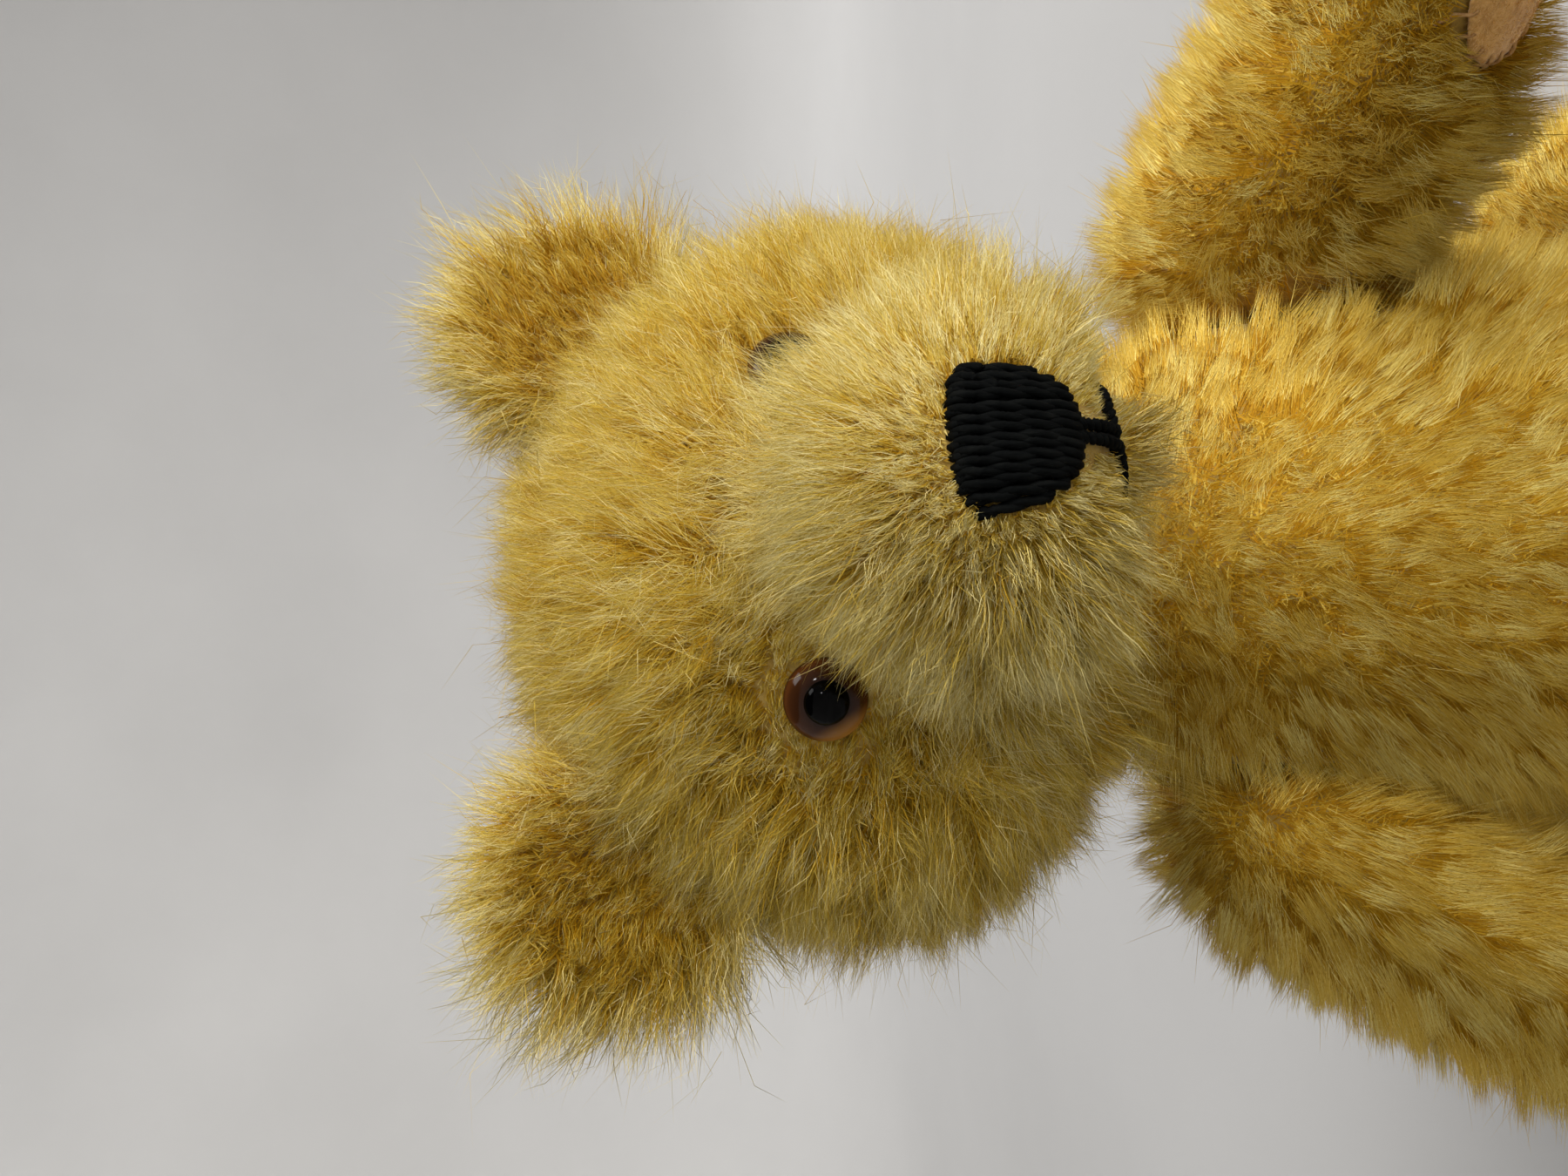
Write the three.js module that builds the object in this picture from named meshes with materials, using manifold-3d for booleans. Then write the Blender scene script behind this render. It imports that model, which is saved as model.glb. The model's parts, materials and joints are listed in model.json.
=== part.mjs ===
// A jointed teddy bear, sitting. Millimetres, +Z up, the bear faces -Y and its left side is +X.
// The origin is on the surface it sits on, under the middle of its seat.
import * as THREE from 'three';
import { mergeVertices } from 'three/addons/utils/BufferGeometryUtils.js';
import Module from 'manifold-3d';

const wasm = await Module();
wasm.setup();

// ---------- Driving dimensions ----------
const GAP = 0.3; // air between pieces that touch
const CLOTH = 1.4; // mohair backing cloth with its seam allowance
const FELT = 1.2;
const CARD = 1.5; // insole in each foot
const BOARD = 2; // fibreboard joint disc
const WASHER = 0.8;
const PIN_RADIUS = 1.2;
const CURL_RADIUS = 2.4; // turned-over tail of a cotter pin
const CURL_WIRE = 0.8;
const PIN_HEAD = { radius: 3, depth: 1.4 };

const TORSO_TOP = 145;
const TORSO_DEPTH = 0.87; // front-to-back size over side-to-side size
const SHOULDER = { height: 102, face: 39.5, seat: 31, disc: 11 };
const HIP = { height: 27, face: 34.5, seat: 33, disc: 13 };
const NECK_DISC = 13;

const ARM = { centre: 12, splay: 33, thickness: 0.93, bend: 16, length: 106 };
const LEG = { centre: 13.5, splay: 7, thickness: 0.85, length: 112 };
const FOOT = { centre: 106, forward: -8.2, halfLength: 34.6, halfWidth: 17, halfHeight: 22 };

const SKULL_DEPTH = 0.86;
const SKULL_BACK = 3; // skull centre, behind the neck axis
const MUZZLE = { height: 172, root: -20, tip: -73.5 };
const EYE = { spread: 24.4, height: 192, radius: 6, bulge: 0.62, wire: 0.6, shank: 14 };
const EAR = { spread: 47.5, back: -6, height: 222.5, radius: 20.5, thickness: 4.2, cup: 5, turn: 16, lean: 14 };
const NOSE = { height: 172.5, halfWidth: 8.8, halfHeight: 7.6, depth: 2.4 };

// How the bear is put down: head turned to its left, left arm held forward, legs out in front
const HEAD_TURN = 13;
const LEFT_ARM_LIFT = 80;
const RIGHT_ARM_LIFT = 0;
const LEG_LIFT = 90;

const ROUND = 14; // facets round a soft body
const RINGS = 9; // and along it
const DISC_ROUND = 12;
const PIN_ROUND = 8;

// ---------- Materials ----------
function material(color, roughness, metalness = 0) {
  return new THREE.MeshStandardMaterial({ color, roughness, metalness });
}
const mohair = material(0xd0a850, 0.95);
const woodWool = material(0xcdb98c, 1);
const felt = material(0xc58f57, 0.95);
const yarn = material(0x17171a, 0.85);
const glass = material(0x7a3a16, 0.08);
const fibreboard = material(0x7d6244, 0.9);
const steel = material(0x9a9c9e, 0.35, 1);
const card = material(0xa98f68, 0.95);

// ---------- Solids ----------
// A closed geometry as a manifold-3d solid; triangles that the merge folds shut are dropped
function solid(geometry) {
  const bare = geometry.clone();
  bare.deleteAttribute('normal');
  bare.deleteAttribute('uv');
  const merged = mergeVertices(bare, 1e-4);
  const index = merged.index.array;
  const kept = [];
  for (let i = 0; i < index.length; i += 3) {
    const [a, b, c] = [index[i], index[i + 1], index[i + 2]];
    if (a !== b && b !== c && c !== a) kept.push(a, b, c);
  }
  const mesh = new wasm.Mesh({
    numProp: 3,
    vertProperties: new Float32Array(merged.attributes.position.array),
    triVerts: new Uint32Array(kept),
  });
  return new wasm.Manifold(mesh);
}

function geometryOf(body) {
  const mesh = body.getMesh();
  const geometry = new THREE.BufferGeometry();
  geometry.setAttribute('position', new THREE.BufferAttribute(mesh.vertProperties, 3));
  geometry.setIndex(new THREE.BufferAttribute(mesh.triVerts, 1));
  geometry.computeVertexNormals();
  return geometry;
}

// Moves every vertex of a geometry through place(point)
function reshape(geometry, place) {
  const position = geometry.attributes.position;
  const point = new THREE.Vector3();
  for (let i = 0; i < position.count; i += 1) {
    place(point.fromBufferAttribute(position, i));
    position.setXYZ(i, point.x, point.y, point.z);
  }
  return geometry;
}

// A turned body about Z through [height, radius] points, every surface moved in by inset
function turned(points, inset, rings = RINGS) {
  const low = points[0][0];
  const high = points[points.length - 1][0];
  const middle = (low + high) / 2;
  const shrink = 1 - inset / (high - middle);
  const curve = new THREE.SplineCurve(points.map(([h, r]) => new THREE.Vector2(r, h)));
  const outline = [new THREE.Vector2(0, middle + (low - middle) * shrink)];
  for (let i = 0; i <= rings; i += 1) {
    const p = curve.getPoint(i / rings);
    const radius = p.x - inset;
    if (radius > 0.5) outline.push(new THREE.Vector2(radius, middle + (p.y - middle) * shrink));
  }
  outline.push(new THREE.Vector2(0, middle + (high - middle) * shrink));
  return new THREE.LatheGeometry(outline, ROUND).rotateX(Math.PI / 2);
}

// A cylinder along X from x = from to x = to
function rod(radius, from, to, sides = DISC_ROUND) {
  const geometry = new THREE.CylinderGeometry(radius, radius, to - from, sides);
  return solid(geometry.rotateZ(-Math.PI / 2).translate((from + to) / 2, 0, 0));
}

function box(low, high) {
  const size = high.map((value, i) => value - low[i]);
  const geometry = new THREE.BoxGeometry(...size);
  return solid(geometry.translate(...low.map((value, i) => value + size[i] / 2)));
}

function mirrored(body) {
  return body.mirror([1, 0, 0]);
}

const bear = new THREE.Group();

function add(name, body, look, parent) {
  const mesh = new THREE.Mesh(geometryOf(body), look);
  mesh.name = name;
  parent.add(mesh);
  return mesh;
}

// ---------- Disc joints ----------
// A joint is built on X: x = 0 is the plane between the covers, the limb is at +X and the torso at -X.
const BOARD_START = GAP + CLOTH + GAP;
const WASHER_START = BOARD_START + BOARD + GAP;
const PIN_START = WASHER_START + WASHER + GAP;

function washer(radius, hole, from, to) {
  return rod(radius, from, to).subtract(rod(hole, from - 1, to + 1, PIN_ROUND));
}

// One tail of the cotter pin, rolled over against the washer; side is +1 or -1
function pinTail(side) {
  const x = -PIN_START - CURL_RADIUS - CURL_WIRE;
  const points = [];
  const turns = 7;
  for (let i = 0; i <= turns; i += 1) {
    const angle = Math.PI / 2 - (i / turns) * 1.35 * Math.PI;
    const across = (CURL_RADIUS + 0.4) - CURL_RADIUS * Math.sin(angle);
    points.push(new THREE.Vector3(x - CURL_RADIUS * Math.cos(angle), 0, side * across));
  }
  const path = new THREE.CatmullRomCurve3(points);
  const outline = new THREE.Shape();
  outline.absarc(0, 0, CURL_WIRE, 0, 2 * Math.PI);
  const tube = new THREE.ExtrudeGeometry(outline, { extrudePath: path, steps: 5, curveSegments: 3 });
  return solid(tube);
}

function cotterPin() {
  const shaft = rod(PIN_RADIUS, -PIN_START - CURL_RADIUS - CURL_WIRE, PIN_START + 0.5, PIN_ROUND);
  const head = rod(PIN_HEAD.radius, PIN_START, PIN_START + PIN_HEAD.depth, PIN_ROUND);
  return shaft.add(head).add(pinTail(1)).add(pinTail(-1));
}

const HOLE = PIN_RADIUS + 0.5;
const joint = {
  limbDisc: (r) => washer(r, HOLE, BOARD_START, BOARD_START + BOARD),
  limbWasher: () => washer(6, HOLE, WASHER_START, WASHER_START + WASHER),
  torsoDisc: (r) => washer(r, HOLE, -BOARD_START - BOARD, -BOARD_START),
  torsoWasher: () => washer(6, HOLE, -WASHER_START - WASHER, -WASHER_START),
  pin: cotterPin,
  hole: () => rod(HOLE, -20, 20, PIN_ROUND),
  limbPocket: (r) => rod(r + 0.4, -5, PIN_START + PIN_HEAD.depth + 0.5),
  torsoPocket: (r) => rod(r + 0.4, -PIN_START - 0.5, 5).add(rod(7.5, -PIN_START - 8, 5)),
};

// Turns a piece built on X so that the limb side points along the joint's own direction
const toNeck = (body) => body.rotate([0, -90, 0]).translate([0, 0, TORSO_TOP + GAP]);
const toShoulder = (body) => body.translate([SHOULDER.face + GAP, 0, SHOULDER.height]);
const toHip = (body) => body.translate([HIP.face + GAP, 0, HIP.height]);

// ---------- Torso ----------
const TORSO_OUTLINE = [
  [0, 24], [4, 32.5], [13, 38.5], [27, 42.5], [46, 45], [66, 46.2], [86, 45.8],
  [102, 44.5], [113, 41.8], [123, 36.5], [132, 30.5], [139, 25.5], [TORSO_TOP, 19],
];

function torsoBody(inset) {
  const form = reshape(turned(TORSO_OUTLINE, inset, 11), (p) => {
    // the belly carries forward and the shoulders stay back
    const sway = 3 * Math.cos((Math.PI * (p.z - 110)) / 62);
    p.y = p.y * TORSO_DEPTH + sway * Math.min(1, p.z / 20) * Math.min(1, (TORSO_TOP - p.z) / 20);
  });
  let body = solid(form);
  for (const [seat, place] of [[SHOULDER, toShoulder], [HIP, toHip]]) {
    const cut = place(rod(seat.seat + inset, -GAP - inset, 30, 18));
    body = body.subtract(cut).subtract(mirrored(cut));
  }
  return body;
}

function jointHoles(body) {
  let result = body.subtract(toNeck(joint.hole()));
  for (const place of [toShoulder, toHip]) {
    const hole = place(joint.hole());
    result = result.subtract(hole).subtract(mirrored(hole));
  }
  return result;
}

const torsoCover = () => jointHoles(torsoBody(0).subtract(torsoBody(CLOTH)));

function torsoStuffing() {
  let body = torsoBody(CLOTH + GAP).subtract(toNeck(joint.torsoPocket(NECK_DISC)));
  for (const [seat, place] of [[SHOULDER, toShoulder], [HIP, toHip]]) {
    const pocket = place(joint.torsoPocket(seat.disc));
    body = body.subtract(pocket).subtract(mirrored(pocket));
  }
  return body;
}

const torso = new THREE.Group();
bear.add(torso);
add('torso_cover', torsoCover(), mohair, torso);
add('torso_stuffing', torsoStuffing(), woodWool, torso);
add('neck_torso_disc', toNeck(joint.torsoDisc(NECK_DISC)), fibreboard, torso);
add('neck_torso_washer', toNeck(joint.torsoWasher()), steel, torso);
for (const [name, seat, place] of [['shoulder', SHOULDER, toShoulder], ['hip', HIP, toHip]]) {
  const disc = place(joint.torsoDisc(seat.disc));
  const ring = place(joint.torsoWasher());
  add(`${name}_torso_disc_left`, disc, fibreboard, torso);
  add(`${name}_torso_disc_right`, mirrored(disc), fibreboard, torso);
  add(`${name}_torso_washer_left`, ring, steel, torso);
  add(`${name}_torso_washer_right`, mirrored(ring), steel, torso);
}

// ---------- Head ----------
const HEAD_BASE = TORSO_TOP + 2 * GAP;
const HEAD_TOP = 229;
const SKULL_OUTLINE = [
  [HEAD_BASE, 24], [150, 36], [159, 48], [172, 54], [186, 54.5], [199, 50],
  [211, 42], [221, 31], [227, 18], [HEAD_TOP, 6],
];
const MUZZLE_OUTLINE = [[0, 21], [18, 20.5], [34, 19.5], [44, 17.5], [50, 14], [MUZZLE.root - MUZZLE.tip, 9]];

function skullBody(inset) {
  return solid(reshape(turned(SKULL_OUTLINE, inset), (p) => {
    p.y = p.y * SKULL_DEPTH + SKULL_BACK;
  }));
}

function muzzleBody(inset) {
  // turned about Z from the root, then laid along -Y; it droops and is a little wider than deep
  const form = turned(MUZZLE_OUTLINE, inset, 6).rotateX(Math.PI / 2);
  return solid(reshape(form, (p) => {
    p.z = p.z * 0.94 + MUZZLE.height;
    p.y += MUZZLE.root;
  }));
}

function headBody(inset) {
  return skullBody(inset).add(muzzleBody(inset));
}

// Skull surface at the eye's place, and the direction the eye looks
function eyeSeat() {
  const across = EYE.spread / 52;
  const y = SKULL_BACK - SKULL_DEPTH * 52 * Math.sqrt(1 - across * across);
  const outward = new THREE.Vector3(0.32, -1, 0.12).normalize();
  return { point: new THREE.Vector3(EYE.spread, y, EYE.height), outward };
}

// Places a piece built on +Z, with z = 0 on the cover, at the left eye
function toEye(body) {
  const { point, outward } = eyeSeat();
  const turn = new THREE.Quaternion().setFromUnitVectors(new THREE.Vector3(0, 0, 1), outward);
  const matrix = new THREE.Matrix4().compose(point, turn, new THREE.Vector3(1, 1, 1));
  return body.transform(matrix.elements);
}

function upright(radius, from, to, sides) {
  return rod(radius, from, to, sides).rotate([0, -90, 0]);
}

function eyeGlass() {
  const dome = solid(new THREE.SphereGeometry(EYE.radius, 14, 8).scale(1, 1, EYE.bulge));
  const socket = headBody(-GAP);
  return toEye(dome.translate([0, 0, 1.6])).subtract(socket);
}

const eyeWire = () => toEye(upright(EYE.wire, -EYE.shank, -1, 8));
const eyeHole = () => toEye(upright(EYE.wire + 0.4, -EYE.shank - 0.5, 3, 8));

function headHoles(body) {
  const eye = eyeHole();
  return body.subtract(eye).subtract(mirrored(eye));
}

function headCover() {
  return headHoles(headBody(0).subtract(headBody(CLOTH))).subtract(toNeck(joint.hole()));
}

function headStuffing() {
  return headHoles(headBody(CLOTH + GAP)).subtract(toNeck(joint.limbPocket(NECK_DISC)));
}

// A round ear, cupped to the front and set into the corner of the head
function ear() {
  const form = new THREE.SphereGeometry(EAR.radius, 16, 8).rotateX(Math.PI / 2);
  reshape(form, (p) => {
    const out = Math.min(1, (p.x * p.x + p.z * p.z) / (EAR.radius * EAR.radius));
    p.y = (p.y * EAR.thickness) / EAR.radius + EAR.cup * (1 - out);
  });
  form.rotateY(THREE.MathUtils.degToRad(EAR.lean)).rotateZ(THREE.MathUtils.degToRad(EAR.turn));
  form.translate(EAR.spread, EAR.back, EAR.height);
  return solid(form).subtract(headBody(-GAP));
}

// Satin stitches: a shield with a straight top edge, rounded below
function noseStitching() {
  const { halfWidth: w, halfHeight: h } = NOSE;
  const outline = new THREE.Shape();
  outline.moveTo(-w, 0.75 * h);
  outline.quadraticCurveTo(0, 1.1 * h, w, 0.75 * h);
  outline.bezierCurveTo(w, -0.2 * h, 0.5 * w, -0.95 * h, 0, -h);
  outline.bezierCurveTo(-0.5 * w, -0.95 * h, -w, -0.2 * h, -w, 0.75 * h);
  const block = new THREE.ExtrudeGeometry(outline, { depth: 30, bevelEnabled: false, curveSegments: 6 });
  const column = solid(block.rotateX(Math.PI / 2).translate(0, MUZZLE.tip + 10, NOSE.height));
  return column.intersect(muzzleBody(-GAP - NOSE.depth)).subtract(muzzleBody(-GAP));
}

// One thread down from the nose and a wide inverted V below it
function mouthStitching() {
  const w = 0.8;
  const top = -NOSE.halfHeight - 0.6;
  const apex = -NOSE.halfHeight - 3;
  const outline = new THREE.Shape();
  const corners = [[-w, top], [-w, apex], [-11, apex - 4], [-11, apex - 6], [0, apex - 2],
    [11, apex - 6], [11, apex - 4], [w, apex], [w, top]];
  corners.forEach(([x, y], i) => (i ? outline.lineTo(x, y) : outline.moveTo(x, y)));
  const block = new THREE.ExtrudeGeometry(outline, { depth: 40, bevelEnabled: false });
  const column = solid(block.rotateX(Math.PI / 2).translate(0, MUZZLE.tip + 25, NOSE.height));
  return column.intersect(muzzleBody(-GAP - 1)).subtract(muzzleBody(-GAP));
}

const head = new THREE.Group();
head.rotation.z = THREE.MathUtils.degToRad(HEAD_TURN);
bear.add(head);
add('head_cover', headCover(), mohair, head);
add('head_stuffing', headStuffing(), woodWool, head);
add('ear_left', ear(), mohair, head);
add('ear_right', mirrored(ear()), mohair, head);
add('eye_left', eyeGlass(), glass, head);
add('eye_right', mirrored(eyeGlass()), glass, head);
add('eye_wire_left', eyeWire(), steel, head);
add('eye_wire_right', mirrored(eyeWire()), steel, head);
add('nose_stitching', noseStitching(), yarn, head);
add('mouth_stitching', mouthStitching(), yarn, head);
add('neck_head_disc', toNeck(joint.limbDisc(NECK_DISC)), fibreboard, head);
add('neck_head_washer', toNeck(joint.limbWasher()), steel, head);
add('neck_cotter_pin', toNeck(joint.pin()), steel, head);

// ---------- Limbs ----------
// A limb is built hanging from its joint: x = 0 between the covers, outward is +X, down is -Z.
const ARM_OUTLINE = [
  [-17, 4], [-14, 10.5], [-8, 16], [0, 19], [13, 20], [31, 19], [50, 17], [68, 15.3],
  [82, 14.8], [94, 13], [101, 9], [ARM.length, 3],
];
const LEG_OUTLINE = [
  [-21, 4], [-18, 11], [-10, 19], [0, 22.8], [16, 23], [40, 20.5], [65, 17.2],
  [86, 15.2], [98, 15], [LEG.length - 4, 14],
];

// Bends a turned form onto a limb's centre line, which leans outward and curves forward
function hang(form, limb, bend) {
  const lean = THREE.MathUtils.degToRad(limb.splay);
  return reshape(form, (p) => {
    const along = p.z;
    const across = p.x * limb.thickness;
    const forward = bend * (Math.max(0, along) / limb.length) ** 2;
    p.x = limb.centre + along * Math.sin(lean) + across * Math.cos(lean);
    p.y -= forward;
    p.z = -along * Math.cos(lean) + across * Math.sin(lean);
  });
}

// Keeps the mesh's faces pointing out after hang() has turned its axis upside down
function hungSolid(points, inset, limb, bend) {
  const form = turned(points, inset);
  form.scale(1, -1, 1);
  return solid(hang(form, limb, bend));
}

function armBody(inset) {
  const inner = box([-40, -60, -140], [GAP + inset, 60, 40]);
  return hungSolid(ARM_OUTLINE, inset, ARM, ARM.bend).subtract(inner);
}

// The palm side of the paw: inward and to the back
function pawRegion() {
  const lean = THREE.MathUtils.degToRad(ARM.splay);
  const form = new THREE.SphereGeometry(1, 12, 8).scale(15, 15, 30);
  form.rotateY(-lean);
  const along = 81;
  form.translate(ARM.centre + along * Math.sin(lean) - 12, 1.5, -along * Math.cos(lean) - 5);
  return solid(form);
}

const armCover = () => armBody(0).subtract(armBody(CLOTH)).subtract(joint.hole());
const armStuffing = () => armBody(CLOTH + GAP).subtract(joint.limbPocket(SHOULDER.disc));
const pawPad = () => armBody(-GAP - FELT).subtract(armBody(-GAP)).intersect(pawRegion());

function footForm(inset) {
  const form = new THREE.SphereGeometry(1, ROUND, 10);
  form.scale(FOOT.halfWidth - inset, FOOT.halfLength - inset, FOOT.halfHeight - inset);
  const lean = THREE.MathUtils.degToRad(LEG.splay);
  form.rotateY(-lean);
  form.translate(LEG.centre + FOOT.centre * Math.sin(lean), FOOT.forward, -FOOT.centre * Math.cos(lean));
  return solid(form);
}

// Everything beyond a plane square across the leg, at this distance down it
function beyond(distance) {
  const lean = THREE.MathUtils.degToRad(LEG.splay);
  const block = new THREE.BoxGeometry(200, 200, 100).translate(0, 0, -distance - 50);
  return solid(block.rotateY(-lean).translate(LEG.centre, 0, 0));
}

function legBody(inset, sole = LEG.length) {
  const inner = box([-40, -80, -160], [GAP + inset, 80, 40]);
  const whole = hungSolid(LEG_OUTLINE, inset, LEG, 0).add(footForm(inset));
  return whole.subtract(inner).subtract(beyond(sole));
}

const legCover = () => legBody(0).subtract(legBody(CLOTH, LEG.length + 5)).subtract(joint.hole());
const insoleTop = LEG.length - GAP - CARD;
const legStuffing = () => legBody(CLOTH + GAP, insoleTop - GAP).subtract(joint.limbPocket(HIP.disc));
const insole = () => legBody(CLOTH + GAP, insoleTop + CARD).intersect(beyond(insoleTop));
const sole = () => footForm(0.2).intersect(beyond(LEG.length + GAP)).subtract(beyond(LEG.length + GAP + FELT));

const limbs = [
  { name: 'arm', seat: SHOULDER, lift: [LEFT_ARM_LIFT, RIGHT_ARM_LIFT], joint: 'shoulder',
    pieces: [['cover', armCover, mohair], ['stuffing', armStuffing, woodWool], ['paw_pad', pawPad, felt]] },
  { name: 'leg', seat: HIP, lift: [LEG_LIFT, LEG_LIFT], joint: 'hip',
    pieces: [['cover', legCover, mohair], ['stuffing', legStuffing, woodWool],
      ['insole', insole, card], ['sole_pad', sole, felt]] },
];

for (const limb of limbs) {
  for (const [side, i] of [['left', 0], ['right', 1]]) {
    const sign = i === 0 ? 1 : -1;
    const own = (body) => (sign > 0 ? body : mirrored(body));
    const group = new THREE.Group();
    group.position.set(sign * (limb.seat.face + GAP), 0, limb.seat.height);
    group.rotation.x = -THREE.MathUtils.degToRad(limb.lift[i]);
    bear.add(group);
    for (const [piece, make, look] of limb.pieces) {
      add(`${limb.name}_${piece}_${side}`, own(make()), look, group);
    }
    add(`${limb.joint}_${limb.name}_disc_${side}`, own(joint.limbDisc(limb.seat.disc)), fibreboard, group);
    add(`${limb.joint}_${limb.name}_washer_${side}`, own(joint.limbWasher()), steel, group);
    add(`${limb.joint}_cotter_pin_${side}`, own(joint.pin()), steel, group);
  }
}

export default bear;
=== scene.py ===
import json
import math
from contextlib import contextmanager

import bmesh
import bpy
import numpy as np
from mathutils import Matrix, Vector
from mathutils.bvhtree import BVHTree
from mathutils.kdtree import KDTree


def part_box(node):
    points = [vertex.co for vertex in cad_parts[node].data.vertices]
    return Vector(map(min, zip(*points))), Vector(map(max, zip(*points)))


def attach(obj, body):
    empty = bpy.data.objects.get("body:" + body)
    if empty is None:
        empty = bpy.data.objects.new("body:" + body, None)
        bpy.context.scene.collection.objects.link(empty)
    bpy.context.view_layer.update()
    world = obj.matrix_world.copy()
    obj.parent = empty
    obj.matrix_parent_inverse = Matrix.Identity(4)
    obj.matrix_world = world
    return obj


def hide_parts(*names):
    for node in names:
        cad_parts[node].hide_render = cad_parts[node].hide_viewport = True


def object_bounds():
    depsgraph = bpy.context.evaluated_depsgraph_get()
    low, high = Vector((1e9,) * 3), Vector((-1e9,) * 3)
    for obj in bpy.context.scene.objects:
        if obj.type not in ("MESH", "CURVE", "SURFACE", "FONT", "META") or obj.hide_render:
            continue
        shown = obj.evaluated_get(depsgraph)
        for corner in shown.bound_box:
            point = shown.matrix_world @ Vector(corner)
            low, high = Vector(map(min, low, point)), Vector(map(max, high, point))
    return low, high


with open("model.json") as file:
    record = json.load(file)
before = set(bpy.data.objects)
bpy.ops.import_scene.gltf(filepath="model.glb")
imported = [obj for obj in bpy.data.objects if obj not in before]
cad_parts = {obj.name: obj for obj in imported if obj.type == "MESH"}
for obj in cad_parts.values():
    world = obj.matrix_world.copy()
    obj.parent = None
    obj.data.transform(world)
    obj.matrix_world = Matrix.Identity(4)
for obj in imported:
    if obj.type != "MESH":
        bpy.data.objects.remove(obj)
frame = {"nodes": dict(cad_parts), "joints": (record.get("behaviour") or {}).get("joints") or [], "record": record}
cad_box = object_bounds()
NODES = frame["nodes"]
JOINT = {j["name"]: Vector(j["pos_m"]) for j in frame["joints"]}

MM = 0.001
HEAD_TURN = math.radians(13)

# the cloth skins: the furthest that the stuffing pushes them out, and how it does
SKIN_VOXEL = 2.2 * MM
SWELL = 1.6 * MM
PRESSURE, PRESSURE_FRAMES = 4, 20
SEAM_HALF_WIDTH = 1.2 * MM
SEAT_RADIUS = {"neck": 22 * MM, "shoulder": 18 * MM, "hip": 22 * MM}

# the eyes, in mm from the middle of each one's rim, and the way that the painted glow of light through their glass
# lies
IRIS_PROFILE = [(0, -1.5), (3.2, -1.4), (5.0, -1.1), (5.75, -0.6), (6.0, 0), (5.94, 0.4), (5.66, 0.9),
                (5.2, 1.38), (4.6, 1.8), (3.9, 2.14), (3.2, 2.36), (2.2, 2.5), (0, 2.55)]
IRIS_STOPS = [(0.0, (26, 11, 4)), (0.3, (44, 22, 8)), (0.66, (60, 32, 12)), (0.86, (82, 44, 17)),
              (1.0, (40, 16, 6))]
PUPIL_RADIUS, PUPIL_RISE, PUPIL_RIM = 3.2, 1.6, 2.2
PAINTED_GLOW_SIDE = (-0.88, -0.2, -0.43)
LATHE_TURNS = 64

# the nose and mouth yarn
NOSE_HALF_WIDTH, NOSE_HALF_HEIGHT, NOSE_CROWN, NOSE_DROP = 8.9 * MM, 7.9 * MM, 1.3 * MM, 0.2 * MM
NOSE_YARN, NOSE_THREADS = 1.5 * MM, 14
MOUTH_THREAD = 1.5 * MM
YARN_SIDES, YARN_PLIES, YARN_DIVE = 7, 2, 1.2 * MM

# the mohair: long upright hairs, and a short ground that lies flat under them; density is in hairs to
# the square millimetre, and plush is the share of hairs that are shaded like the cloth
PILE = 12.5 * MM
FLOOR_CLEAR = 0.5 * MM
PROUD_SHARE, PROUD_MOST = 0.03, 8.3 * MM
# the ground's last number is the share of its hairs a shade darker: painted shade under the pile
GROUND_DENSITY, GROUND_LENGTH, GROUND_LEAN, GROUND_WIDTH, GROUND_PAINTED_SHADE = 2.2, 0.5, 1.0, 0.5 * MM, 0.5
PLUSH_THICKNESS, PLUSH_SLANT = 0.03 * MM, 0.8
LOCK_DYED = 0.5
PIECE_TRIANGLES = 190000
EYE_OPENING = {"right": 4.8 * MM, "left": 4.6 * MM}
EYE_CROSSED = 0.1
HEAD_PILE = dict(density=7.0, segments=3, width=0.12 * MM, plush=0.65, lock=3.2 * MM, pull=0.55)
EAR_PILE = dict(density=6.5, segments=3, width=0.13 * MM, plush=0.5, lock=2.4 * MM)
BODY_PILE = dict(segments=2, width=0.14 * MM, plush=1, lock=3.6 * MM, pull=0.62, jitter=0.5, frizz=0.04)
TORSO_DENSITY = 5.2
LIMB_DENSITY = {"arm": 5.2, "leg": 3.6}

# the felt pads and the stitches over their edges
FELT_VOXEL, NAP_DENSITY, NAP_LENGTH, NAP_WIDTH = 0.6 * MM, 9.0, 1.1 * MM, 0.07 * MM
STITCH_SPACING, STITCH_INSET, STITCH_LENGTH, STITCH_RADIUS = 3.0 * MM, 1.9 * MM, 2.9 * MM, 0.28 * MM
STITCH_LIFT = 0.35 * MM


# ---------------------------------------------------------------- small helpers

def smooth(low, high, value):
    """0 below low, 1 above high, and an S between them."""
    t = np.clip((value - low) / (high - low), 0, 1)
    return t * t * (3 - 2 * t)


def unit(v):
    return v / np.maximum(np.linalg.norm(v, axis=-1, keepdims=True), 1e-12)


def centre(node):
    low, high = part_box(node)
    return (low + high) / 2


def srgb(r, g, b):
    """A linear colour from 0 to 255 display values."""
    return tuple(((c / 255 + 0.055) / 1.055) ** 2.4 if c > 10 else c / 255 / 12.92 for c in (r, g, b))


def add_object(name, mesh):
    obj = bpy.data.objects.new(name, mesh)
    bpy.context.scene.collection.objects.link(obj)
    return obj


def mesh_from(name, verts, faces):
    mesh = bpy.data.meshes.new(name)
    mesh.from_pydata([tuple(v) for v in verts], [], faces)
    mesh.update()
    return mesh


def shade_smooth(obj):
    for p in obj.data.polygons:
        p.use_smooth = True


@contextmanager
def reshaping(mesh):
    """A bmesh of the mesh, written back to it afterwards."""
    bm = bmesh.new()
    bm.from_mesh(mesh)
    yield bm
    bm.to_mesh(mesh)
    bm.free()


def finish_piece(obj, body, slot, *mats):
    """Gives a piece its materials, and rides it on a body. slot is not used."""
    for m in mats:
        obj.data.materials.append(m)
    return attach(obj, body)


# ---------------------------------------------------------------- materials

def node_material(name):
    mat = bpy.data.materials.new(name)
    mat.use_nodes = True
    return mat, mat.node_tree.nodes, mat.node_tree.links


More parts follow.
